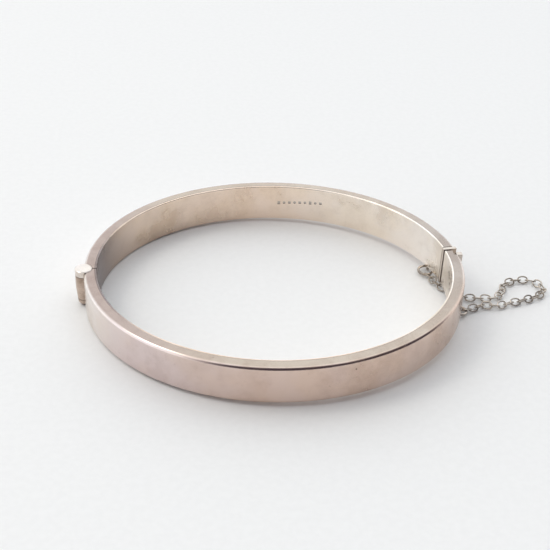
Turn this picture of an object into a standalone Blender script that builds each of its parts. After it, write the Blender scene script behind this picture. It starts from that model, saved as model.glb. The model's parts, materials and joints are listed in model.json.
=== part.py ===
"""Hinged oval bangle bracelet with a tongue clasp and a safety chain.

The bangle is two hollow silver halves. They turn on a pin hinge at the left end and close with a
sprung tongue at the right end, where a fine cable chain joins them. The bangle lies on its side.
Its hinge end touches the table, and its clasp end rests on the chain's two soldered eyes.
All lengths are in metres, and +Z is up.
"""

from math import asin, atan2, cos, pi, radians, sin, sqrt

import bmesh
import bpy
from mathutils import Matrix, Vector

# Band: the outer surface follows an oval with its centre at the origin.
OVAL_A = 0.0330
OVAL_B = 0.0298
BAND_HEIGHT = 0.0070
BAND_THICKNESS = 0.00225
SHEET = 0.00045
LINING = 0.0004
SEAM = 0.00005
EDGE_RADIUS = 0.0004
BAND_STEPS = 44

# Stance: the whole bangle leans on its clasp end.
LEAN = radians(1.2)

# Hinge, on the outer surface at the left end of the oval.
HINGE_X = -OVAL_A
HINGE_END_GAP = 0.00012
KNUCKLE_RADIUS = 0.00145
KNUCKLE_FIT = 0.00005
TOP_KNUCKLE = (0.0060, 0.00715)
MIDDLE_KNUCKLE = (0.0013, 0.0059)
BOTTOM_KNUCKLE = (0.00015, 0.0012)
PIN_RADIUS = 0.0004
PIN_BORE = 0.00045
PIN_SPAN = (0.0003, 0.0069)
CAP_DEPTH = 0.0021

# Clasp, at the right end. Its places are given as Y on the oval.
BACK_SHELL_END = 0.0040
PLATE_SPAN = (0.00305, 0.00372)
PLATE_PROUD = 0.0001
SLOT_INSET = (0.0006, 0.00168)
SLOT_HEIGHT = (0.0009, 0.0062)
FRONT_END = 0.0026
TONGUE_RADIUS = 0.06497
TONGUE_THICKNESS = 0.00025
TONGUE_HEIGHT = (0.0012, 0.0059)
TONGUE_ROOT = -0.0020
TONGUE_TIP = 0.0064
SPRING_END = 0.0013
SPRING_GAP = 0.0001
SPRING_SPLAY = radians(4.0)
THUMB_Y = (0.0013, 0.0023)
THUMB_Z = (0.0053, 0.0068)
THUMB_PROUD = 0.00075

# Safety chain: oval wire links between two round rings that hang in soldered eyes.
LINKS = 34
LINK_LENGTH = 0.0021
LINK_WIDTH = 0.0016
LINK_WIRE = 0.00028
LINK_PITCH = 0.00142
LINK_ROLL = radians(45)
LINK_Z = 0.00063
RING_RADIUS = 0.00133
RING_WIRE = 0.0005
RING_GRIP = 0.0005
EYE_Z = 0.00085
EYE_RADIUS = 0.0006
EYE_WIRE = 0.0004
BACK_EYE = Vector((0.02997, 0.00892))
BACK_RING_TURN = radians(231)
FRONT_RING_TURN = radians(12)

# How the loop unrolls as the bangle opens. Neighbouring links that hardly turn against each other
# move as one group, given by its first and last link. Groups before the carried one turn about
# their far contact or hang from the back ring, and the later ones turn about their near contact.
LINK_GROUPS = [(1, 2), (3, 3), (4, 5), (6, 9), (10, 13), (14, 19), (20, 21), (22, 22), (23, 24),
               (25, 29), (30, 31), (32, 33), (34, 34)]
LAST_FROM_RING = 9
CARRIED_GROUP = (20, 21)
CARRIED_PIVOT = Vector((0.0257, 0.0066))
ROUTE = [
    (0.02920, 0.0068), (0.0296, 0.0055), (0.0301, 0.0038), (0.0313, 0.0018), (0.0333, -0.0003),
    (0.0353, -0.0013), (0.0374, -0.00135), (0.0396, -0.0015), (0.0412, -0.0003), (0.0424, 0.0022),
    (0.0444, 0.0040), (0.0470, 0.0044), (0.0492, 0.0033), (0.0497, 0.0011), (0.0483, -0.0009),
    (0.0462, -0.0018), (0.0440, -0.0026), (0.0415, -0.0033), (0.0394, -0.0039), (0.0374, -0.0036),
    (0.0356, -0.0042), (0.0341, -0.0048), (0.0326, -0.0054), (0.0312, -0.0060),
]

# The origin is the middle of the footprint of the bangle and its chain.
FOOTPRINT_SHIFT = -0.00781

SILVER = (0.78, 0.72, 0.67)
PALE_SILVER = (0.82, 0.77, 0.73)
DARK_SILVER = (0.42, 0.38, 0.35)


def clear_scene():
    for obj in list(bpy.data.objects):
        bpy.data.objects.remove(obj, do_unlink=True)


def new_collection(name):
    collection = bpy.data.collections.new(name)
    bpy.context.scene.collection.children.link(collection)
    return collection


def empty(name, parent, location, rotation=(0, 0, 0)):
    obj = bpy.data.objects.new(name, None)
    obj.empty_display_size = 0.003
    obj.location = location
    obj.rotation_euler = rotation
    obj.parent = parent
    PARTS.objects.link(obj)
    return obj


def material(name, colour, roughness):
    mat = bpy.data.materials.new(name)
    mat.use_nodes = True
    shader = mat.node_tree.nodes["Principled BSDF"]
    shader.inputs["Base Color"].default_value = (*colour, 1)
    shader.inputs["Metallic"].default_value = 1.0
    shader.inputs["Roughness"].default_value = roughness
    mat.diffuse_color = (*colour, 1)
    return mat


def place(obj, parent, location=(0, 0, 0), rotation=(0, 0, 0), look=(SILVER, 0.3)):
    """Give a finished piece its parent, place and material."""
    obj.parent = parent
    obj.location = location
    obj.rotation_euler = rotation
    if not obj.data.materials:
        obj.data.materials.append(material(obj.name, *look))
    return obj


def curve_object(name, collection, points, cyclic=False):
    """An object holding one POLY spline through the points."""
    data = bpy.data.curves.new(name, "CURVE")
    data.dimensions = "3D" if len(points[0]) == 3 else "2D"
    data.fill_mode = "FULL" if data.dimensions == "3D" else "NONE"
    spline = data.splines.new("POLY")
    spline.points.add(len(points) - 1)
    for target, point in zip(spline.points, points):
        target.co = (*point, 1) if len(point) == 3 else (*point, 0, 1)
    spline.use_cyclic_u = cyclic
    obj = bpy.data.objects.new(name, data)
    collection.objects.link(obj)
    return obj


def to_mesh(obj):
    """Replace a curve object, or one with modifiers, by a welded mesh of the same name."""
    name = obj.name
    bpy.context.view_layer.update()
    evaluated = obj.evaluated_get(bpy.context.evaluated_depsgraph_get())
    data = bpy.data.meshes.new_from_object(evaluated)
    matrix = obj.matrix_world.copy()
    collection = obj.users_collection[0]
    bpy.data.objects.remove(obj, do_unlink=True)
    shape = bmesh.new()
    shape.from_mesh(data)
    bmesh.ops.remove_doubles(shape, verts=shape.verts, dist=1e-7)
    bmesh.ops.recalc_face_normals(shape, faces=shape.faces)
    shape.to_mesh(data)
    shape.free()
    data.materials.clear()
    data.name = name
    result = bpy.data.objects.new(name, data)
    result.matrix_world = matrix
    collection.objects.link(result)
    return result


def smooth(obj, angle=35):
    obj.data.shade_smooth()
    obj.data.set_sharp_from_angle(angle=radians(angle))
    return obj


def cut(obj, cutter, operation="DIFFERENCE"):
    modifier = obj.modifiers.new(cutter.name, "BOOLEAN")
    modifier.operation = operation
    modifier.object = cutter
    return obj


def box_cutter(name, x, y, z):
    """A box between the given pairs of limits, kept among the cutters."""
    data = bpy.data.meshes.new(name)
    shape = bmesh.new()
    size = Vector((x[1] - x[0], y[1] - y[0], z[1] - z[0]))
    centre = Vector((sum(x), sum(y), sum(z))) / 2
    bmesh.ops.create_cube(shape, size=1, matrix=Matrix.LocRotScale(centre, None, size))
    shape.to_mesh(data)
    shape.free()
    obj = bpy.data.objects.new(name, data)
    CUTTERS.objects.link(obj)
    obj.parent = STANCE
    obj.display_type = "WIRE"
    obj.hide_render = True
    return obj


def turned(name, profile, steps=32):
    """A solid of revolution about Z from (radius, height) pairs, listed from the top down."""
    data = bpy.data.meshes.new(name)
    edges = [(i, i + 1) for i in range(len(profile) - 1)]
    if profile[0][0] > 0:
        edges.append((len(profile) - 1, 0))
    data.from_pydata([(radius, 0, height) for radius, height in profile], edges, [])
    obj = bpy.data.objects.new(name, data)
    PARTS.objects.link(obj)
    screw = obj.modifiers.new("Turn", "SCREW")
    screw.steps = steps
    screw.render_steps = steps
    screw.use_merge_vertices = True
    screw.merge_threshold = 1e-6
    return smooth(to_mesh(obj))


def arc(centre, radius, start, end, steps):
    """Points of a circular arc, with the angles in degrees."""
    angles = [radians(start + (end - start) * i / steps) for i in range(steps + 1)]
    return [(centre[0] + radius * cos(a), centre[1] + radius * sin(a)) for a in angles]


# Band -----------------------------------------------------------------------------------------

def clasp_angle(y):
    """Angle on the oval of a place near the clasp."""
    return asin(y / OVAL_B)


def hinge_angle(y, side):
    """Angle on the oval of a place near the hinge; side is 1 for the back half, -1 for the front."""
    return side * (pi - asin(y / OVAL_B))


def half_path(side, clasp, hinge, steps=BAND_STEPS):
    """The outer oval between two angles, always walked anticlockwise."""
    return oval_path(clasp, hinge, steps) if side > 0 else oval_path(hinge, clasp, steps)


def oval_path(start, end, steps=BAND_STEPS):
    angles = [start + (end - start) * i / steps for i in range(steps + 1)]
    return [(OVAL_A * cos(a), OVAL_B * sin(a)) for a in angles]


def sweep(name, outline, path):
    """Sweep an outline of (inset, height) points along a path that turns anticlockwise."""
    profile = curve_object(name + "_outline", CUTTERS, [(-s, z) for s, z in outline], True)
    obj = curve_object(name, PARTS, path)
    obj.data.bevel_mode = "OBJECT"
    obj.data.bevel_object = profile
    obj.data.use_fill_caps = True
    result = to_mesh(obj)
    bpy.data.objects.remove(profile, do_unlink=True)
    return result


def channel_outline():
    """The outer sheet: a wall on the outside and a flange along each rim, rounded outside."""
    top, r = BAND_HEIGHT, EDGE_RADIUS
    flange = BAND_THICKNESS - LINING - SEAM
    outside = arc((r, top - r), r, 90, 180, 4) + arc((r, r), r, 180, 270, 4)
    inside = [(flange, 0), (flange, SHEET), (SHEET, SHEET), (SHEET, top - SHEET), (flange, top - SHEET)]
    return outside + inside + [(flange, top)]


def rectangle(inset, height):
    return [(inset[0], height[0]), (inset[1], height[0]), (inset[1], height[1]), (inset[0], height[1])]


def lining_outline():
    """The inner sheet, with its two wrist edges eased."""
    outer, inner, top, ease = BAND_THICKNESS - LINING, BAND_THICKNESS, BAND_HEIGHT, 0.00012
    return [(outer, 0), (inner - ease, 0), (inner, ease), (inner, top - ease), (inner - ease, top), (outer, top)]


def cavity_outline(fit):
    """The hollow inside the channel, less a fitting gap all round."""
    inset = (SHEET + fit, BAND_THICKNESS - LINING - fit)
    return rectangle(inset, (SHEET + fit, BAND_HEIGHT - SHEET - fit))


def band_half(name, side, clasp_end, parent, location, look):
    """Shell, lining and hinge cap of one half."""
    clasp = clasp_angle(clasp_end)
    hinge = hinge_angle(HINGE_END_GAP, side)
    cap = hinge_angle(CAP_DEPTH, side)
    shell = sweep(name + "_outer_shell", channel_outline(), half_path(side, clasp, hinge))
    lining = sweep(name + "_inner_lining", lining_outline(), half_path(side, clasp, hinge))
    block = sweep(name + "_hinge_cap", cavity_outline(SEAM), half_path(side, cap, hinge, 3))
    for piece in (shell, lining, block):
        cut(smooth(piece), KNUCKLE_SCOOP)
        place(piece, parent, location, look=look)
    return shell


# Clasp ----------------------------------------------------------------------------------------

def hinge_circle(radius, start, end, steps):
    """Path on a circle about the hinge, between two places on Y."""
    first, last = asin(start / radius), asin(end / radius)
    angles = [first + (last - first) * i / steps for i in range(steps + 1)]
    return [(HINGE_X + radius * cos(a), radius * sin(a)) for a in angles]


def clasp_plate():
    """The plate that closes the back half, slotted for the tongue."""
    outline = rectangle((-PLATE_PROUD, BAND_THICKNESS + SEAM), (-SEAM, BAND_HEIGHT + SEAM))
    path = oval_path(clasp_angle(PLATE_SPAN[0]), clasp_angle(PLATE_SPAN[1]), 1)
    plate = sweep("back_clasp_plate", outline, path)
    face = OVAL_A * cos(clasp_angle(sum(PLATE_SPAN) / 2))
    slot = box_cutter("tongue_slot", (face - SLOT_INSET[1], face - SLOT_INSET[0]), (0.0025, 0.0045), SLOT_HEIGHT)
    return place(cut(plate, slot), STANCE, look=(PALE_SILVER, 0.25))


def tongue_leaf(name, radius, start, end):
    outline = rectangle((0, TONGUE_THICKNESS), TONGUE_HEIGHT)
    return sweep(name, outline, hinge_circle(radius, start, end, 6))


def tongue():
    """The fixed leaf and its mount in the front half, then the sprung leaf with its thumb piece."""
    mount = sweep("tongue_mount", cavity_outline(SEAM), oval_path(clasp_angle(-0.0042), clasp_angle(TONGUE_ROOT), 2))
    place(mount, FRONT, FROM_HINGE, look=(SILVER, 0.35))
    base_radius = TONGUE_RADIUS - TONGUE_THICKNESS - SPRING_GAP
    base = tongue_leaf("tongue_base", base_radius, TONGUE_ROOT + 0.00025, TONGUE_TIP)
    place(base, FRONT, FROM_HINGE, look=(SILVER, 0.35))

    middle = TONGUE_RADIUS - TONGUE_THICKNESS / 2
    pivot = Vector((HINGE_X + sqrt(middle ** 2 - TONGUE_TIP ** 2), TONGUE_TIP, 0))
    spring = empty("clasp_spring", FRONT, pivot + Vector(FROM_HINGE))
    leaf = tongue_leaf("tongue_spring", TONGUE_RADIUS, SPRING_END, TONGUE_TIP)
    leaf.data.transform(Matrix.Translation(-pivot))
    place(leaf, spring, rotation=(0, 0, SPRING_SPLAY), look=(SILVER, 0.3))
    thumb_piece(spring, pivot)


def thumb_piece(spring, pivot):
    """A stepped block: its low inner part sits on the leaf, its tall outer part stands proud."""
    outer = OVAL_A + THUMB_PROUD - 0.00006
    inner, step = 0.03233, 0.0326
    low, shoulder, top = THUMB_Z[0], 0.0064, THUMB_Z[1]
    outline = [(inner, low), (outer, low), (outer, top), (step, top), (step, shoulder), (inner, shoulder)]
    obj = curve_object("thumb_piece", PARTS, outline, True)
    obj.data.fill_mode = "BOTH"
    obj.data.extrude = (THUMB_Y[1] - THUMB_Y[0]) / 2
    obj = to_mesh(obj)
    middle = Vector((0, sum(THUMB_Y) / 2, 0))
    obj.data.transform(Matrix.Translation(middle - pivot) @ Matrix.Rotation(pi / 2, 4, "X"))
    bevel = obj.modifiers.new("Ease", "BEVEL")
    bevel.width = 0.0001
    bevel.segments = 2
    return place(smooth(obj), spring, look=(SILVER, 0.3))


# Hinge ----------------------------------------------------------------------------------------

def hinge():
    r, bore = KNUCKLE_RADIUS, PIN_BORE
    low, high = TOP_KNUCKLE
    top = turned("hinge_knuckle_top", [
        (0, high), (r - 0.00015, high), (r, high - 0.00012), (r, low), (bore, low), (bore, high - 0.0002),
        (0, high - 0.0002)])
    place(top, STANCE, (HINGE_X, 0, 0), look=(PALE_SILVER, 0.3))
    low, high = MIDDLE_KNUCKLE
    middle = turned("hinge_knuckle_middle", [
        (bore, high), (r, high), (r, 0.0034), (r - 0.0002, low), (bore, low)])
    place(middle, FRONT, look=(DARK_SILVER, 0.3))
    low, high = BOTTOM_KNUCKLE
    bottom = turned("hinge_knuckle_bottom", [
        (bore, high), (r - 0.0002, high), (r - 0.00025, 0.0006), (r - 0.0006, low), (bore, low)])
    place(bottom, STANCE, (HINGE_X, 0, 0), look=(DARK_SILVER, 0.3))
    low, high = PIN_SPAN
    pin = turned("hinge_pin", [(0, high), (PIN_RADIUS, high), (PIN_RADIUS, low), (0, low)], 24)
    place(pin, STANCE, (HINGE_X, 0, 0), look=(DARK_SILVER, 0.4))


def knuckle_scoop():
    """The round hollow in the ends of both halves that the hinge barrel stands in."""
    data = bpy.data.meshes.new("knuckle_scoop")
    shape = bmesh.new()
    radius = KNUCKLE_RADIUS + KNUCKLE_FIT
    centre = Matrix.Translation((HINGE_X, 0, BAND_HEIGHT / 2))
    bmesh.ops.create_cone(shape, cap_ends=True, segments=48, radius1=radius, radius2=radius,
                          depth=BAND_HEIGHT * 1.2, matrix=centre)
    shape.to_mesh(data)
    shape.free()
    obj = bpy.data.objects.new("knuckle_scoop", data)
    CUTTERS.objects.link(obj)
    obj.parent = STANCE
    obj.display_type = "WIRE"
    obj.hide_render = True
    return obj


# Chain ----------------------------------------------------------------------------------------

def spline_points(points, per_span=40):
    """A centripetal Catmull-Rom curve through the route's points."""
    points = [Vector(p) for p in points]
    ends = [2 * points[0] - points[1]] + points + [2 * points[-1] - points[-2]]
    curve = []
    for p0, p1, p2, p3 in zip(ends, ends[1:], ends[2:], ends[3:]):
        t1 = sqrt((p1 - p0).length)
        t2 = t1 + sqrt((p2 - p1).length)
        t3 = t2 + sqrt((p3 - p2).length)
        for step in range(per_span):
            t = t1 + (t2 - t1) * step / per_span
            a1 = p0.lerp(p1, t / t1)
            a2 = p1.lerp(p2, (t - t1) / (t2 - t1))
            a3 = p2.lerp(p3, (t - t2) / (t3 - t2))
            b1 = a1.lerp(a2, t / t2)
            b2 = a2.lerp(a3, (t - t1) / (t3 - t1))
            curve.append(b1.lerp(b2, (t - t1) / (t2 - t1)))
    return curve + [points[-1]]


def link_joints():
    """Places where neighbouring links touch: equal steps of one pitch along the route."""
    curve = spline_points(ROUTE)
    joints = [curve[0]]
    start = 0
    while len(joints) <= LINKS:
        here = joints[-1]
        index = next(i for i in range(start, len(curve)) if (curve[i] - here).length > LINK_PITCH)
        low, high = curve[index - 1], curve[index]
        for _ in range(30):
            middle = (low + high) / 2
            low, high = (middle, high) if (middle - here).length < LINK_PITCH else (low, middle)
        joints.append(high)
        start = index
    return joints


def link_outline():
    """Wire centre line of an oval link whose near end lies one contact behind its origin."""
    long = (LINK_LENGTH - LINK_WIRE) / 2
    short = (LINK_WIDTH - LINK_WIRE) / 2
    count = 14
    angles = [2 * pi * (i + 0.5) / count for i in range(count)]
    ease = 0.85
    points = []
    for angle in angles:
        c, s = cos(angle), sin(angle)
        x = long * (abs(c) ** ease) * (1 if c > 0 else -1)
        y = short * (abs(s) ** ease) * (1 if s > 0 else -1)
        points.append((LINK_PITCH / 2 + x, y, 0))
    return points


def group_pivot(first, last):
    """Where a group of links turns."""
    if (first, last) == CARRIED_GROUP:
        return CARRIED_PIVOT
    if LAST_FROM_RING < first < CARRIED_GROUP[0]:
        return JOINTS[last]
    return JOINTS[first - 1]


def chain_link(number, data, group, pivot):
    obj = bpy.data.objects.new(f"chain_link_{number:02d}", data)
    PARTS.objects.link(obj)
    start, end = JOINTS[number - 1], JOINTS[number]
    turn = atan2(end.y - start.y, end.x - start.x)
    roll = -LINK_ROLL if number % 2 else LINK_ROLL
    return place(obj, group, (start.x - pivot.x, start.y - pivot.y, 0), (roll, 0, turn))


def anchor_ring(name, parent, location, eye, turn):
    """A round ring that slopes from its eye down to the chain's height."""
    bpy.ops.mesh.primitive_torus_add(major_radius=RING_RADIUS, minor_radius=RING_WIRE / 2,
                                     major_segments=24, minor_segments=8)
    obj = bpy.context.object
    obj.name = name
    obj.data.name = name
    for collection in obj.users_collection:
        collection.objects.unlink(obj)
    PARTS.objects.link(obj)
    slope = asin((EYE_Z - LINK_Z) / (2 * RING_RADIUS))
    reach = Vector((cos(turn), sin(turn))) * RING_RADIUS
    centre = Vector((eye.x + reach.x, eye.y + reach.y, (EYE_Z + LINK_Z) / 2)) + Vector(location)
    return place(smooth(obj), parent, centre, (0, slope, turn), (DARK_SILVER, 0.35))


def chain_eye(name, parent, location, eye, turn):
    """A wire staple under the rim that holds an anchor ring; it stands across the ring's wire."""
    drop = (eye.x - HINGE_X) * sin(LEAN) - EYE_Z
    bend = arc((0, -drop), EYE_RADIUS, 180, 360, 10)
    legs = [(-EYE_RADIUS, -0.00002)] + bend + [(EYE_RADIUS, -0.00002)]
    obj = curve_object(name, PARTS, [(x, 0, z) for x, z in legs])
    obj.data.bevel_depth = EYE_WIRE / 2
    obj.data.bevel_resolution = 2
    obj.data.use_fill_caps = True
    obj = smooth(to_mesh(obj), 50)
    place_at = Vector((eye.x, eye.y, 0)) + Vector(location)
    return place(obj, parent, place_at, (0, 0, turn), (DARK_SILVER, 0.35))


# Build ----------------------------------------------------------------------------------------

clear_scene()
PARTS = new_collection("bangle_bracelet")
CUTTERS = new_collection("cutters")
CUTTERS.hide_render = True

ROOT = empty("bracelet", None, (FOOTPRINT_SHIFT, 0, 0))
STANCE_AT = (HINGE_X - HINGE_X * cos(LEAN), 0, -HINGE_X * sin(LEAN))
STANCE = empty("stance", ROOT, STANCE_AT, (0, -LEAN, 0))
FRONT = empty("front_half", STANCE, (HINGE_X, 0, 0))
FROM_HINGE = (-HINGE_X, 0, 0)

KNUCKLE_SCOOP = knuckle_scoop()

band_half("back", 1, BACK_SHELL_END, STANCE, (0, 0, 0), (PALE_SILVER, 0.28))
front_shell = band_half("front", -1, FRONT_END, FRONT, FROM_HINGE, (SILVER, 0.3))
cut(front_shell, box_cutter("thumb_notch", (0.03205, 0.0335), (0.0011, 0.0028), (0.0051, 0.0073)))
hinge()
clasp_plate()
tongue()

JOINTS = link_joints()
LINK_SHAPE = curve_object("link_shape", PARTS, link_outline(), True).data
LINK_SHAPE.bevel_depth = LINK_WIRE / 2
LINK_SHAPE.bevel_resolution = 1
LINK_SHAPE.materials.append(material("chain_wire", DARK_SILVER, 0.3))
bpy.data.objects.remove(bpy.data.objects["link_shape"])

anchor_ring("back_anchor_ring", ROOT, (0, 0, 0), BACK_EYE, BACK_RING_TURN)
chain_eye("back_chain_eye", STANCE, (0, 0, 0), BACK_EYE, BACK_RING_TURN)
for first, last in LINK_GROUPS:
    pivot = group_pivot(first, last)
    group = empty(f"links_{first:02d}_{last:02d}", ROOT, (pivot.x, pivot.y, LINK_Z))
    for number in range(first, last + 1):
        chain_link(number, LINK_SHAPE, group, pivot)

arriving = (JOINTS[-1] - JOINTS[-2]).normalized()
held_wire = JOINTS[-1] - RING_GRIP * arriving
front_eye = held_wire - 2 * RING_RADIUS * Vector((cos(FRONT_RING_TURN), sin(FRONT_RING_TURN)))
anchor_ring("front_anchor_ring", ROOT, (0, 0, 0), front_eye, FRONT_RING_TURN)
chain_eye("front_chain_eye", FRONT, FROM_HINGE, front_eye, FRONT_RING_TURN)
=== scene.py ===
"""Looks for the hinged silver bangle: fine meshes, aged silver and a pale studio."""

import json
from math import asin, cos, pi, radians, sin, sqrt

import bmesh
import bpy
from mathutils import Matrix, Vector, noise

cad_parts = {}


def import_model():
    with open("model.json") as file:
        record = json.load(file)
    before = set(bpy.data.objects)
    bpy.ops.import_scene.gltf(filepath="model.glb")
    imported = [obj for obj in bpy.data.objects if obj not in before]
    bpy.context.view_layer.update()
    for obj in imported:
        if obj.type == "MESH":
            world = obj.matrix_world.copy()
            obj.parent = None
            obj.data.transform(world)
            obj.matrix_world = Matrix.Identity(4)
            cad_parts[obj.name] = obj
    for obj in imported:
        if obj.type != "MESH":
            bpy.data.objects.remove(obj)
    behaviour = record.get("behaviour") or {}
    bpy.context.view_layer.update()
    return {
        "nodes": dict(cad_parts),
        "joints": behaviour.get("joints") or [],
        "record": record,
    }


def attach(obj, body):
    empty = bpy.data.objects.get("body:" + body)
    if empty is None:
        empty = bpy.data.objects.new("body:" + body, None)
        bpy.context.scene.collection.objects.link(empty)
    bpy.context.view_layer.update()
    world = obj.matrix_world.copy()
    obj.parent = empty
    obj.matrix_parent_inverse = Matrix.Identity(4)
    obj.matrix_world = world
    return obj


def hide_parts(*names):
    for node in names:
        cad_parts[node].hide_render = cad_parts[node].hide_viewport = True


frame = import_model()

# All lengths are in metres. Insets are measured inwards from the band's outer surface.
MM = 0.001
OVAL_A = 33.0 * MM
OVAL_B = 29.8 * MM
HEIGHT = 7.0 * MM
THICKNESS = 2.25 * MM
SHEET = 0.45 * MM
LINING = 0.30 * MM
SEAM = 0.012 * MM
EDGE_RADIUS = 0.68 * MM
WRIST_RADIUS = 0.14 * MM
EASE = 0.03 * MM

# How finely the band is divided: along it, up its walls and round its two kinds of edge.
STEPS = 420
WALL_STEPS = 12
EDGE_STEPS = 10
WRIST_STEPS = 6

# Slow unevenness of the hand-worked sheets.
SHELL_RIPPLE = 0.010 * MM
LINING_RIPPLE = 0.006 * MM
RIPPLE_SCALE = 180
RIPPLE_HEIGHT_SCALE = 0.6

HINGE_GAP = 0.10 * MM
SCOOP_RADIUS = 1.50 * MM
BACK_END = 4.0 * MM
FRONT_END = 2.6 * MM

# Room for the thumb piece in the front half's outer sheet.
NOTCH_X = (32.05 * MM, 33.6 * MM)
NOTCH_Y = (1.1 * MM, 2.9 * MM)
NOTCH_Z = (5.1 * MM, 7.4 * MM)

# Rows of stamped marks on the wrist side: first angle and step in degrees, and each mark's height.
MARK_SIZE = 0.52 * MM
MARK_DEPTH = 0.09 * MM
TALL_MARK = 1.25
LOW_MARK = 0.9
BACK_MARKS = (83.2, -1.9, [(3.5 + 0.075 * i) * MM for i in range(9)])
FRONT_MARKS = (-3.2, -1.5, [(5.0 - 0.73 * i) * MM for i in range(4)])

# A small pit in the outside of the front half.
PIT_ANGLE = -73.0
PIT_HEIGHT = 5.4 * MM
PIT_SIZE = (0.26 * MM, 0.26 * MM, 0.16 * MM)

JOINTS = {joint["name"]: joint for joint in frame["joints"]}
HINGE = Vector(JOINTS["bangle_hinge"]["pos_m"])
LEAN = asin(JOINTS["bangle_hinge"]["axis"][0])
# From the bangle's own frame (oval centre on the lower rim) to the shared frame.
STANCE = Matrix.Translation(HINGE) @ Matrix.Rotation(-LEAN, 4, "Y") @ Matrix.Translation((OVAL_A, 0, 0))


# Meshes ---------------------------------------------------------------------------------------

def link_object(name, data, body, replaced):
    obj = bpy.data.objects.new(name, data)
    bpy.context.scene.collection.objects.link(obj)
    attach(obj, body)
    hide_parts(replaced)
    return obj


def arc(centre, radius, start, end, steps):
    """Points of a circular arc, with the angles in degrees."""
    angles = [radians(start + (end - start) * i / steps) for i in range(steps + 1)]
    return [(centre[0] + radius * cos(a), centre[1] + radius * sin(a)) for a in angles]


def oval_frame(angle):
    """Point on the outer oval and the direction that points out of it."""
    point = Vector((OVAL_A * cos(angle), OVAL_B * sin(angle), 0))
    out = Vector((cos(angle) / OVAL_A, sin(angle) / OVAL_B, 0)).normalized()
    return point, out


def distances(points):
    """How far along a line each of its points is, in millimetres."""
    along = [0.0]
    for a, b in zip(points, points[1:]):
        along.append(along[-1] + sqrt(sum((q - p) ** 2 for p, q in zip(a, b))) / MM)
    return along


def map_quad(face, uv_layer, i, j, along, around):
    """Lay a grid quad flat on its UV map, from its place (i, j) in the grid."""
    corners = ((i, j), (i + 1, j), (i + 1, j + 1), (i, j + 1))
    for loop, (station, turn) in zip(face.loops, corners):
        loop[uv_layer].uv = (along[station], around[turn])


def to_mesh(name, shape):
    data = bpy.data.meshes.new(name)
    shape.to_mesh(data)
    shape.free()
    return data


def sweep(name, outline, stations, ripple):
    """A closed solid with the outline of (inset, height) points at each (point, out) station.

    Its UV map unrolls the surface in millimetres: u along the band, v round the outline.
    """
    shape = bmesh.new()
    uv_layer = shape.loops.layers.uv.new("unrolled")
    along = distances([point for point, _ in stations])
    around = distances(outline + outline[:1])
    rings = []
    for point, out in stations:
        ring = []
        for inset, height in outline:
            place = point - out * inset + Vector((0, 0, height))
            spot = Vector((place.x, place.y, place.z * RIPPLE_HEIGHT_SCALE)) * RIPPLE_SCALE
            place += out * ripple * noise.noise(spot)
            ring.append(shape.verts.new(place))
        rings.append(ring)
    count = len(outline)
    for i in range(len(rings) - 1):
        for j in range(count):
            k = (j + 1) % count
            face = shape.faces.new((rings[i][j], rings[i + 1][j], rings[i + 1][k], rings[i][k]))
            map_quad(face, uv_layer, i, j, along, around)
    shape.faces.new(rings[0])
    shape.faces.new(list(reversed(rings[-1])))
    bmesh.ops.recalc_face_normals(shape, faces=shape.faces)
    data = to_mesh(name, shape)
    data.transform(STANCE)
    return data


def cutter(name, make):
    """A solid in the bangle's frame, for Boolean cuts."""
    shape = bmesh.new()
    make(shape)
    data = to_mesh(name, shape)
    data.transform(STANCE)
    obj = bpy.data.objects.new(name, data)
    bpy.context.scene.collection.objects.link(obj)
    return obj


def carve(data, cutters, sharp_angle=32):
    """Cut the mesh by each cutter and return the result, smoothed."""
    obj = bpy.data.objects.new("carving", data)
    bpy.context.scene.collection.objects.link(obj)
    for tool in cutters:
        modifier = obj.modifiers.new(tool.name, "BOOLEAN")
        modifier.operation = "DIFFERENCE"
        modifier.solver = "EXACT"
        modifier.object = tool
    bpy.context.view_layer.update()
    depsgraph = bpy.context.evaluated_depsgraph_get()
    result = bpy.data.meshes.new_from_object(obj.evaluated_get(depsgraph))
    bpy.data.objects.remove(obj)
    result.name = data.name
    result.shade_smooth()
    result.set_sharp_from_angle(angle=radians(sharp_angle))
    return result


def disc(shape, radius, depth, place, segments):
    bmesh.ops.create_cone(shape, cap_ends=True, segments=segments, radius1=radius, radius2=radius,
                          depth=depth, matrix=place)


def block(shape, x, y, z):
    size = Vector((x[1] - x[0], y[1] - y[0], z[1] - z[0]))
    centre = Vector((sum(x), sum(y), sum(z))) / 2
    bmesh.ops.create_cube(shape, size=1, matrix=Matrix.LocRotScale(centre, None, size))


# Band -----------------------------------------------------------------------------------------

def shell_outline():
    """Outer sheet with rounded outer edges and a flange along each rim."""
    top, r = HEIGHT, EDGE_RADIUS
    flange = THICKNESS - LINING - SEAM
    wall = [(0, r + (top - 2 * r) * i / WALL_STEPS) for i in range(1, WALL_STEPS)]
    upper = list(reversed(arc((r, top - r), r, 90, 180, EDGE_STEPS)))
    lower = list(reversed(arc((r, r), r, 180, 270, EDGE_STEPS)))
    inside = [(flange - EASE, top), (flange, top - EASE), (flange, top - SHEET), (SHEET, top - SHEET),
              (SHEET, SHEET), (flange, SHEET), (flange, EASE), (flange - EASE, 0)]
    return lower + wall + upper + inside


def lining_outline():
    """Inner sheet with softened wrist edges."""
    outer, inner, top, r = THICKNESS - LINING, THICKNESS, HEIGHT, WRIST_RADIUS
    wall = [(inner, top - r - (top - 2 * r) * i / WALL_STEPS) for i in range(1, WALL_STEPS)]
    upper = list(reversed(arc((inner - r, top - r), r, 0, 90, WRIST_STEPS)))
    lower = list(reversed(arc((inner - r, r), r, -90, 0, WRIST_STEPS)))
    start = [(outer, EASE), (outer, top - EASE), (outer + EASE, top)]
    return start + upper + wall + lower + [(outer + EASE, 0)]


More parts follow.
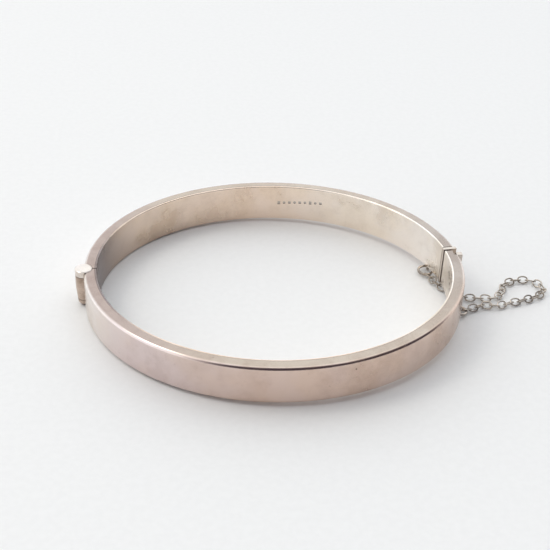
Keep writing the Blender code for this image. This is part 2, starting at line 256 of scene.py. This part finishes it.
def half_stations(side, clasp_y):
    """Stations from the clasp to the hinge; side is 1 for the back half and -1 for the front."""
    first = asin(clasp_y / OVAL_B)
    last = side * (pi - asin(HINGE_GAP / OVAL_B))
    return [oval_frame(first + (last - first) * i / STEPS) for i in range(STEPS + 1)]


def pocket(shape, angle, height, inset, size, is_round):
    """A shallow pocket whose middle is at an inset, across the band's thickness."""
    point, out = oval_frame(radians(angle))
    centre = point - out * inset + Vector((0, 0, height))
    place = Matrix.Translation(centre) @ out.to_track_quat("Z", "Y").to_matrix().to_4x4()
    if is_round:
        disc(shape, size[0] / 2, size[2], place, 20)
    else:
        bmesh.ops.create_cube(shape, size=1, matrix=place @ Matrix.Diagonal((*size, 1)))


def stamped_row(shape, first_angle, step, heights):
    """A row of plain stamped marks on the wrist side."""
    for i, height in enumerate(heights):
        tall = MARK_SIZE * (TALL_MARK if i % 3 == 0 else LOW_MARK)
        size = (MARK_SIZE, tall, 2 * MARK_DEPTH)
        pocket(shape, first_angle + step * i, height, THICKNESS, size, i % 2 == 1)


def band(materials):
    back_marks = cutter("back_marks", lambda shape: stamped_row(shape, *BACK_MARKS))
    front_marks = cutter("front_marks", lambda shape: stamped_row(shape, *FRONT_MARKS))
    pit = cutter("pit", lambda shape: pocket(shape, PIT_ANGLE, PIT_HEIGHT, 0, PIT_SIZE, True))
    scoop_place = Matrix.Translation((-OVAL_A, 0, HEIGHT / 2))
    scoop = cutter("scoop", lambda shape: disc(shape, SCOOP_RADIUS, 2 * HEIGHT, scoop_place, 96))
    notch = cutter("notch", lambda shape: block(shape, NOTCH_X, NOTCH_Y, NOTCH_Z))
    halves = ((1, "back", BACK_END, [scoop], [scoop, back_marks]),
              (-1, "front", FRONT_END, [scoop, notch, pit], [scoop, front_marks]))
    for side, half, clasp_y, shell_cuts, lining_cuts in halves:
        stations = half_stations(side, clasp_y)
        shell = sweep(half + "_shell_fine", shell_outline(), stations, SHELL_RIPPLE)
        shell = carve(shell, shell_cuts)
        obj = link_object(shell.name, shell, half + "_half", half + "_outer_shell")
        obj.data.materials.append(materials["shell"])
        lining = sweep(half + "_lining_fine", lining_outline(), stations, LINING_RIPPLE)
        lining = carve(lining, lining_cuts)
        obj = link_object(lining.name, lining, half + "_half", half + "_inner_lining")
        obj.data.materials.append(materials["lining"])
    for tool in (scoop, notch, pit, back_marks, front_marks):
        bpy.data.objects.remove(tool)


# Chain ----------------------------------------------------------------------------------------

LINK_LENGTH = 2.1 * MM
LINK_WIDTH = 1.6 * MM
LINK_WIRE = 0.27 * MM
LINK_COUNT = 34
LINK_POINTS = 48
LINK_SIDES = 14
# Below 1, the loop's sides are straighter than an ellipse's.
LINK_FULLNESS = 0.85
# Length of a link's unrolled map, where the way round the wire is 1.
LINK_UNROLLED = 5


def wire_loop(name, centre_line, radius, sides):
    """A closed round wire along the points of a flat loop in the XY plane."""
    shape = bmesh.new()
    uv_layer = shape.loops.layers.uv.new("unrolled")
    count = len(centre_line)
    along = [i / count * LINK_UNROLLED for i in range(count + 1)]
    around = [j / sides for j in range(sides + 1)]
    rings = []
    for i, point in enumerate(centre_line):
        ahead = (centre_line[(i + 1) % count] - centre_line[i - 1]).normalized()
        across = Vector((ahead.y, -ahead.x, 0))
        turns = [2 * pi * j / sides for j in range(sides)]
        rings.append([shape.verts.new(point + across * radius * cos(t) + Vector((0, 0, radius * sin(t))))
                      for t in turns])
    for i in range(count):
        for j in range(sides):
            a, b = rings[i], rings[(i + 1) % count]
            k = (j + 1) % sides
            face = shape.faces.new((a[j], b[j], b[k], a[k]))
            map_quad(face, uv_layer, i, j, along, around)
    bmesh.ops.recalc_face_normals(shape, faces=shape.faces)
    data = to_mesh(name, shape)
    data.shade_smooth()
    return data


def link_line():
    """Centre line of an oval link with nearly straight sides, about its own middle."""
    long = (LINK_LENGTH - LINK_WIRE) / 2
    short = (LINK_WIDTH - LINK_WIRE) / 2
    points = []
    for i in range(LINK_POINTS):
        angle = 2 * pi * i / LINK_POINTS
        c, s = cos(angle), sin(angle)
        x = long * abs(c) ** LINK_FULLNESS * (1 if c > 0 else -1)
        y = short * abs(s) ** LINK_FULLNESS * (1 if s > 0 else -1)
        points.append(Vector((x, y, 0)))
    return points


def link_place(node):
    """Where a CAD link lies: its middle, its long direction and the direction across its hole."""
    points = [vertex.co for vertex in frame["nodes"][node].data.vertices]
    middle = sum(points, Vector()) / len(points)
    far = max(points, key=lambda point: (point - middle).length)
    opposite = max(points, key=lambda point: (point - far).length)
    long = opposite - far
    long.z = 0
    long.normalize()
    flat = Vector((-long.y, long.x, 0))
    tilt = max(points, key=lambda point: (point - middle).dot(flat)) - middle
    wide = (tilt - long * tilt.dot(long)).normalized()
    basis = Matrix((long, wide, long.cross(wide))).transposed()
    return Matrix.Translation(middle) @ basis.to_4x4()


def chain(materials):
    shape = wire_loop("link_wire", link_line(), LINK_WIRE / 2, LINK_SIDES)
    bodies = {node: body for body, nodes in frame["record"]["behaviour"]["bodies"].items()
              for node in nodes}
    for i in range(LINK_COUNT):
        node = f"chain_link_{i + 1:02d}"
        data = shape.copy()
        data.transform(link_place(node))
        obj = link_object(f"link_{i + 1:02d}_fine", data, bodies[node], node)
        obj.data.materials.append(materials["wire"])


# Materials ------------------------------------------------------------------------------------

# Where the flat upper rim starts and ends on the outer sheet's unrolled outline, in mm.
RIM_FROM = (HEIGHT - 2 * EDGE_RADIUS + pi * EDGE_RADIUS) / MM
RIM_TO = RIM_FROM + (THICKNESS - LINING - EDGE_RADIUS) / MM
# The rim's darker tone, which is painted shade, starts on the rounded edge beside it and ends sharply at the
# inner sheet.
RIM_FADE = (RIM_FROM - 0.60, RIM_FROM - 0.05)
RIM_STOP = (RIM_TO, RIM_TO + 0.1)
STRAW = (1.00, 0.97, 0.90, 1)
SPECK = (0.45, 0.42, 0.40, 1)
# Faces left by a cut carry no unrolled place, and they keep the dark tarnish of a recess.
CUT_EDGE = 0.02
CUT_SHARE = 0.6
TARNISH = (0.20, 0.15, 0.12, 1)

# Noise scales: per metre in space, and per millimetre (along, across) on the unrolled sheet.
CLOUDS, PATCHES, SPECKS, HUES = 75, 330, 2600, 140
HAIRLINES = (0.55, 9.0, 1.0)
CROSS_LINES = (6.0, 1.1, 1.0)


class Nodes:
    """Small helper to build a material's node tree."""

    def __init__(self, name):
        self.material = bpy.data.materials.new(name)
        self.material.use_nodes = True
        self.tree = self.material.node_tree
        self.shader = self.tree.nodes["Principled BSDF"]

    def add(self, kind, **inputs):
        node = self.tree.nodes.new(kind)
        for key, value in inputs.items():
            self.put(node.inputs[key.replace("_", " ")], value)
        return node

    def put(self, socket, value):
        if isinstance(value, bpy.types.NodeSocket):
            self.tree.links.new(value, socket)
        else:
            socket.default_value = value

    def noise(self, vector, scale, detail=4.0, roughness=0.55):
        node = self.add("ShaderNodeTexNoise", Vector=vector, Scale=scale, Detail=detail, Roughness=roughness)
        return node.outputs["Fac"]

    def spread(self, value, low, high, to_low=0.0, to_high=1.0):
        node = self.add("ShaderNodeMapRange")
        node.interpolation_type = "SMOOTHSTEP"
        for index, item in enumerate((value, low, high, to_low, to_high)):
            self.put(node.inputs[index], item)
        return node.outputs["Result"]

    def math(self, operation, first, second):
        node = self.tree.nodes.new("ShaderNodeMath")
        node.operation = operation
        self.put(node.inputs[0], first)
        self.put(node.inputs[1], second)
        return node.outputs[0]

    def mix(self, factor, first, second, mode="MIX"):
        node = self.tree.nodes.new("ShaderNodeMix")
        node.data_type = "RGBA"
        node.blend_type = mode
        self.put(node.inputs["Factor"], factor)
        self.put(node.inputs["A"], first)
        self.put(node.inputs["B"], second)
        return node.outputs["Result"]

    def tinted(self, first, second):
        return self.mix(1.0, first, second, "MULTIPLY")

    def stretched(self, vector, scale):
        node = self.add("ShaderNodeMapping", Vector=vector, Scale=scale)
        return node.outputs["Vector"]

    def part(self, vector, axis):
        return self.add("ShaderNodeSeparateXYZ", Vector=vector).outputs[axis]


def along_band(n, sheet, tones):
    """A tone that changes along the band: (distance from the clasp in mm, colour) pairs."""
    tone = (*tones[0][1], 1)
    for (start, _), (end, colour) in zip(tones, tones[1:]):
        share = n.spread(n.part(sheet, "X"), start, end)
        tone = n.mix(share, tone, (*colour, 1))
    return tone


def rim_share(n, sheet):
    """One on the flat upper rim of the outer sheet and zero elsewhere."""
    v = n.part(sheet, "Y")
    return n.math("MULTIPLY", n.spread(v, *RIM_FADE), n.spread(v, *RIM_STOP, 1, 0))


def aged_silver(name, tones, dull, roughness, cloud, unrolled=True, rim=None):
    """Silver with cloudy tarnish, hairline scratches along the surface and fine pitting."""
    n = Nodes(name)
    where = n.add("ShaderNodeTexCoord").outputs
    spot = where["Object"]
    sheet = where["UV"] if unrolled else n.stretched(spot, (1 / MM, 1 / MM, 1 / MM))
    clouds = n.noise(spot, CLOUDS, 5)
    patches = n.noise(spot, PATCHES, 6, 0.65)
    specks = n.noise(spot, SPECKS, 3)
    hair = n.noise(n.stretched(sheet, HAIRLINES), 1.0, 8, 0.7)
    cross = n.noise(n.stretched(sheet, CROSS_LINES), 1.0, 6, 0.7)
    veil = n.math("ADD", n.math("MULTIPLY", clouds, 0.6), n.math("MULTIPLY", patches, 0.4))

    # The tones along the band carry painted light and shade as well as the metal's own tint.
    base = along_band(n, sheet, tones)
    hue = n.spread(n.noise(spot, HUES), 0.40, 0.62, 0.0, 0.55)
    base = n.mix(hue, base, n.tinted(base, STRAW))
    # On the flat upper rim, darker tones of painted shade take over.
    if rim:
        base = n.mix(rim_share(n, sheet), base, along_band(n, sheet, rim))
    tint = n.spread(veil, 0.42, 0.62, 0.0, cloud)
    colour = n.mix(tint, base, n.tinted(base, (*dull, 1)))
    dots = n.spread(specks, 0.66, 0.74, 0.0, 0.35)
    colour = n.mix(dots, colour, n.tinted(colour, SPECK))
    if unrolled:
        cut = n.spread(n.part(sheet, "Y"), 0.0, CUT_EDGE, CUT_SHARE, 0.0)
        colour = n.mix(cut, colour, TARNISH)
    n.put(n.shader.inputs["Base Color"], colour)

    lines = n.math("ADD", n.spread(hair, 0.58, 0.72), n.spread(cross, 0.64, 0.74))
    rough = n.spread(veil, 0.40, 0.64, roughness * 0.8, roughness * 1.3)
    rough = n.math("ADD", rough, n.math("MULTIPLY", lines, 0.05))
    n.put(n.shader.inputs["Roughness"], rough)
    n.shader.inputs["Metallic"].default_value = 1.0

    relief = n.math("ADD", n.math("MULTIPLY", lines, -0.5), n.math("MULTIPLY", dots, -0.8))
    relief = n.math("ADD", relief, n.math("MULTIPLY", patches, 1.2))
    bump = n.add("ShaderNodeBump", Strength=0.35, Distance=0.012 * MM, Height=relief)
    n.put(n.shader.inputs["Normal"], bump.outputs["Normal"])
    return n.material


# Studio ---------------------------------------------------------------------------------------

CAMERA_AZIMUTH = radians(-8.0)
CAMERA_ELEVATION = radians(34.12)
CAMERA_ROLL = radians(-3.65)
CAMERA_DISTANCE = 0.200
SENSOR = 36.0
FOCAL = 1126.6 / 550 * SENSOR
SHIFT_X = 0.0019
SHIFT_Y = 0.0449

FLOOR_SIZE = 4.0
FLOOR_DROP = 0.00002
FLOOR_GRAIN = 900
FLOOR_DARK = (0.870, 0.855, 0.835, 1)
FLOOR_PALE = (0.890, 0.875, 0.855, 1)

TENT = (0.925, 0.965, 1.0, 1)
TENT_STRENGTH = 1.40
ROOM = (0.06, 0.05, 0.065, 1)
# Dark openings of the tent: direction, full half-angle and faded half-angle in degrees.
OPENINGS = [((0.05, -0.90, 0.42), 30, 56), ((0.85, -0.38, 0.36), 25, 44)]

KEY_PLACE = (-0.38, 0.05, 0.50)
KEY_SIZE = 0.20
KEY_POWER = 0.48
KEY_COLOUR = (1.0, 0.92, 0.80)


def camera():
    data = bpy.data.cameras.new("camera")
    data.sensor_width = SENSOR
    data.lens = FOCAL
    data.shift_x = SHIFT_X
    data.shift_y = SHIFT_Y
    data.clip_start = 0.01
    obj = bpy.data.objects.new("camera", data)
    bpy.context.scene.collection.objects.link(obj)
    target = Vector((HINGE.x + OVAL_A, 0, 0))
    back = Vector((sin(CAMERA_AZIMUTH) * cos(CAMERA_ELEVATION),
                   -cos(CAMERA_AZIMUTH) * cos(CAMERA_ELEVATION), sin(CAMERA_ELEVATION)))
    obj.location = target + back * CAMERA_DISTANCE
    facing = back.to_track_quat("Z", "Y").to_matrix().to_4x4()
    obj.rotation_euler = (facing @ Matrix.Rotation(-CAMERA_ROLL, 4, "Z")).to_euler()
    bpy.context.scene.camera = obj


def floor():
    n = Nodes("floor_paper")
    spot = n.add("ShaderNodeTexCoord").outputs["Object"]
    grain = n.noise(spot, FLOOR_GRAIN, 3)
    colour = n.mix(n.spread(grain, 0.3, 0.7), FLOOR_DARK, FLOOR_PALE)
    n.put(n.shader.inputs["Base Color"], colour)
    n.shader.inputs["Roughness"].default_value = 0.6
    n.shader.inputs["Specular IOR Level"].default_value = 0.25
    bpy.ops.mesh.primitive_plane_add(size=FLOOR_SIZE, location=(0, 0, -FLOOR_DROP))
    obj = bpy.context.object
    obj.name = "floor"
    obj.data.materials.append(n.material)


def key_light():
    data = bpy.data.lights.new("key", "AREA")
    data.size = KEY_SIZE
    data.energy = KEY_POWER
    data.color = KEY_COLOUR
    obj = bpy.data.objects.new("key", data)
    bpy.context.scene.collection.objects.link(obj)
    obj.location = KEY_PLACE
    obj.rotation_euler = Vector(KEY_PLACE).to_track_quat("Z", "Y").to_euler()


def world():
    """A white tent with dark openings toward the room."""
    world_data = bpy.data.worlds.new("studio")
    world_data.use_nodes = True
    bpy.context.scene.world = world_data
    tree = world_data.node_tree
    background = tree.nodes["Background"]
    direction = tree.nodes.new("ShaderNodeTexCoord").outputs["Generated"]
    share = None
    for toward, full, faded in OPENINGS:
        dot = tree.nodes.new("ShaderNodeVectorMath")
        dot.operation = "DOT_PRODUCT"
        tree.links.new(direction, dot.inputs[0])
        dot.inputs[1].default_value = Vector(toward).normalized()
        ramp = tree.nodes.new("ShaderNodeMapRange")
        ramp.interpolation_type = "SMOOTHSTEP"
        tree.links.new(dot.outputs["Value"], ramp.inputs[0])
        ramp.inputs[1].default_value = cos(radians(faded))
        ramp.inputs[2].default_value = cos(radians(full))
        opening = ramp.outputs["Result"]
        if share:
            larger = tree.nodes.new("ShaderNodeMath")
            larger.operation = "MAXIMUM"
            tree.links.new(share, larger.inputs[0])
            tree.links.new(opening, larger.inputs[1])
            opening = larger.outputs[0]
        share = opening
    mix = tree.nodes.new("ShaderNodeMix")
    mix.data_type = "RGBA"
    tree.links.new(share, mix.inputs["Factor"])
    mix.inputs["A"].default_value = TENT
    mix.inputs["B"].default_value = ROOM
    tree.links.new(mix.outputs["Result"], background.inputs["Color"])
    background.inputs["Strength"].default_value = TENT_STRENGTH


def studio():
    camera()
    floor()
    world()
    key_light()
    bpy.context.scene.view_settings.view_transform = "Standard"


# Assembly -------------------------------------------------------------------------------------

# Outer sheet tones along the band. The lighter clasp and hinge ends are painted highlights: near the hinge
# it is the key light's glow, and near the clasp it is brightness that lifts the face where it reflects the
# floor's shadow.
SHELL_TONES_PAINTED_LIGHT = [(0, (0.88, 0.80, 0.75)), (15, (0.71, 0.57, 0.49)), (55, (0.71, 0.56, 0.49)),
               (78, (0.74, 0.63, 0.61)), (98, (0.84, 0.79, 0.75))]
# Upper rim tones: darker than the wall, and darker again towards both ends. This is painted shade that tones
# down the rim's reflection of the bright tent and the key light.
RIM_TONES_PAINTED_SHADE = [(0, (0.43, 0.375, 0.335)), (30, (0.51, 0.435, 0.365)), (60, (0.50, 0.42, 0.345)),
             (84, (0.43, 0.345, 0.305))]
# Inner sheet tones along the band. Near the clasp they are pale, a painted reflection of the lit floor
# inside. Near the hinge they are very dark: partly tarnish, and partly painted shade where the left wall's
# shadow falls inside the bangle.
LINING_TONES_PAINTED_LIGHT = [(0, (0.97, 0.92, 0.87)), (24, (0.92, 0.83, 0.74)), (48, (0.88, 0.72, 0.60)),
                (72, (0.80, 0.66, 0.55)), (92, (0.28, 0.235, 0.23))]
FITTING_TONES = [(0, (0.79, 0.73, 0.69))]
# Hinge barrel tone: darker and browner than the fittings. This is partly tarnish and partly painted shade on
# the barrel below its light top knuckle.
HINGE_TONES_SHADED = [(0, (0.56, 0.45, 0.38))]
WIRE_TONES = [(0, (0.55, 0.49, 0.43))]

MATERIALS = {
    "shell": aged_silver("shell_silver", SHELL_TONES_PAINTED_LIGHT, (0.84, 0.80, 0.78), 0.22, 0.9, rim=RIM_TONES_PAINTED_SHADE),
    "lining": aged_silver("lining_silver", LINING_TONES_PAINTED_LIGHT, (0.82, 0.79, 0.76), 0.24, 0.8),
    "fitting": aged_silver("fitting_silver", FITTING_TONES, (0.72, 0.68, 0.64), 0.26, 0.6, unrolled=False),
    "hinge": aged_silver("hinge_silver", HINGE_TONES_SHADED, (0.50, 0.45, 0.42), 0.30, 0.9, unrolled=False),
    "wire": aged_silver("wire_silver", WIRE_TONES, (0.30, 0.28, 0.27), 0.26, 0.9, unrolled=False),
}
# The top knuckle takes the lighter fitting silver. The barrel and caps below it take the darker hinge
# silver, with its painted shade.
BY_NODE = {
    "back_hinge_cap": "hinge", "front_hinge_cap": "hinge", "hinge_knuckle_top": "fitting",
    "hinge_knuckle_middle": "hinge", "hinge_knuckle_bottom": "hinge", "hinge_pin": "hinge",
    "back_clasp_plate": "fitting", "tongue_mount": "fitting", "tongue_base": "fitting",
    "tongue_spring": "fitting", "thumb_piece": "fitting", "back_anchor_ring": "wire",
    "front_anchor_ring": "wire", "back_chain_eye": "wire", "front_chain_eye": "wire",
}

band(MATERIALS)
chain(MATERIALS)
for node, key in BY_NODE.items():
    data = frame["nodes"][node].data
    data.materials.clear()
    data.materials.append(MATERIALS[key])
studio()
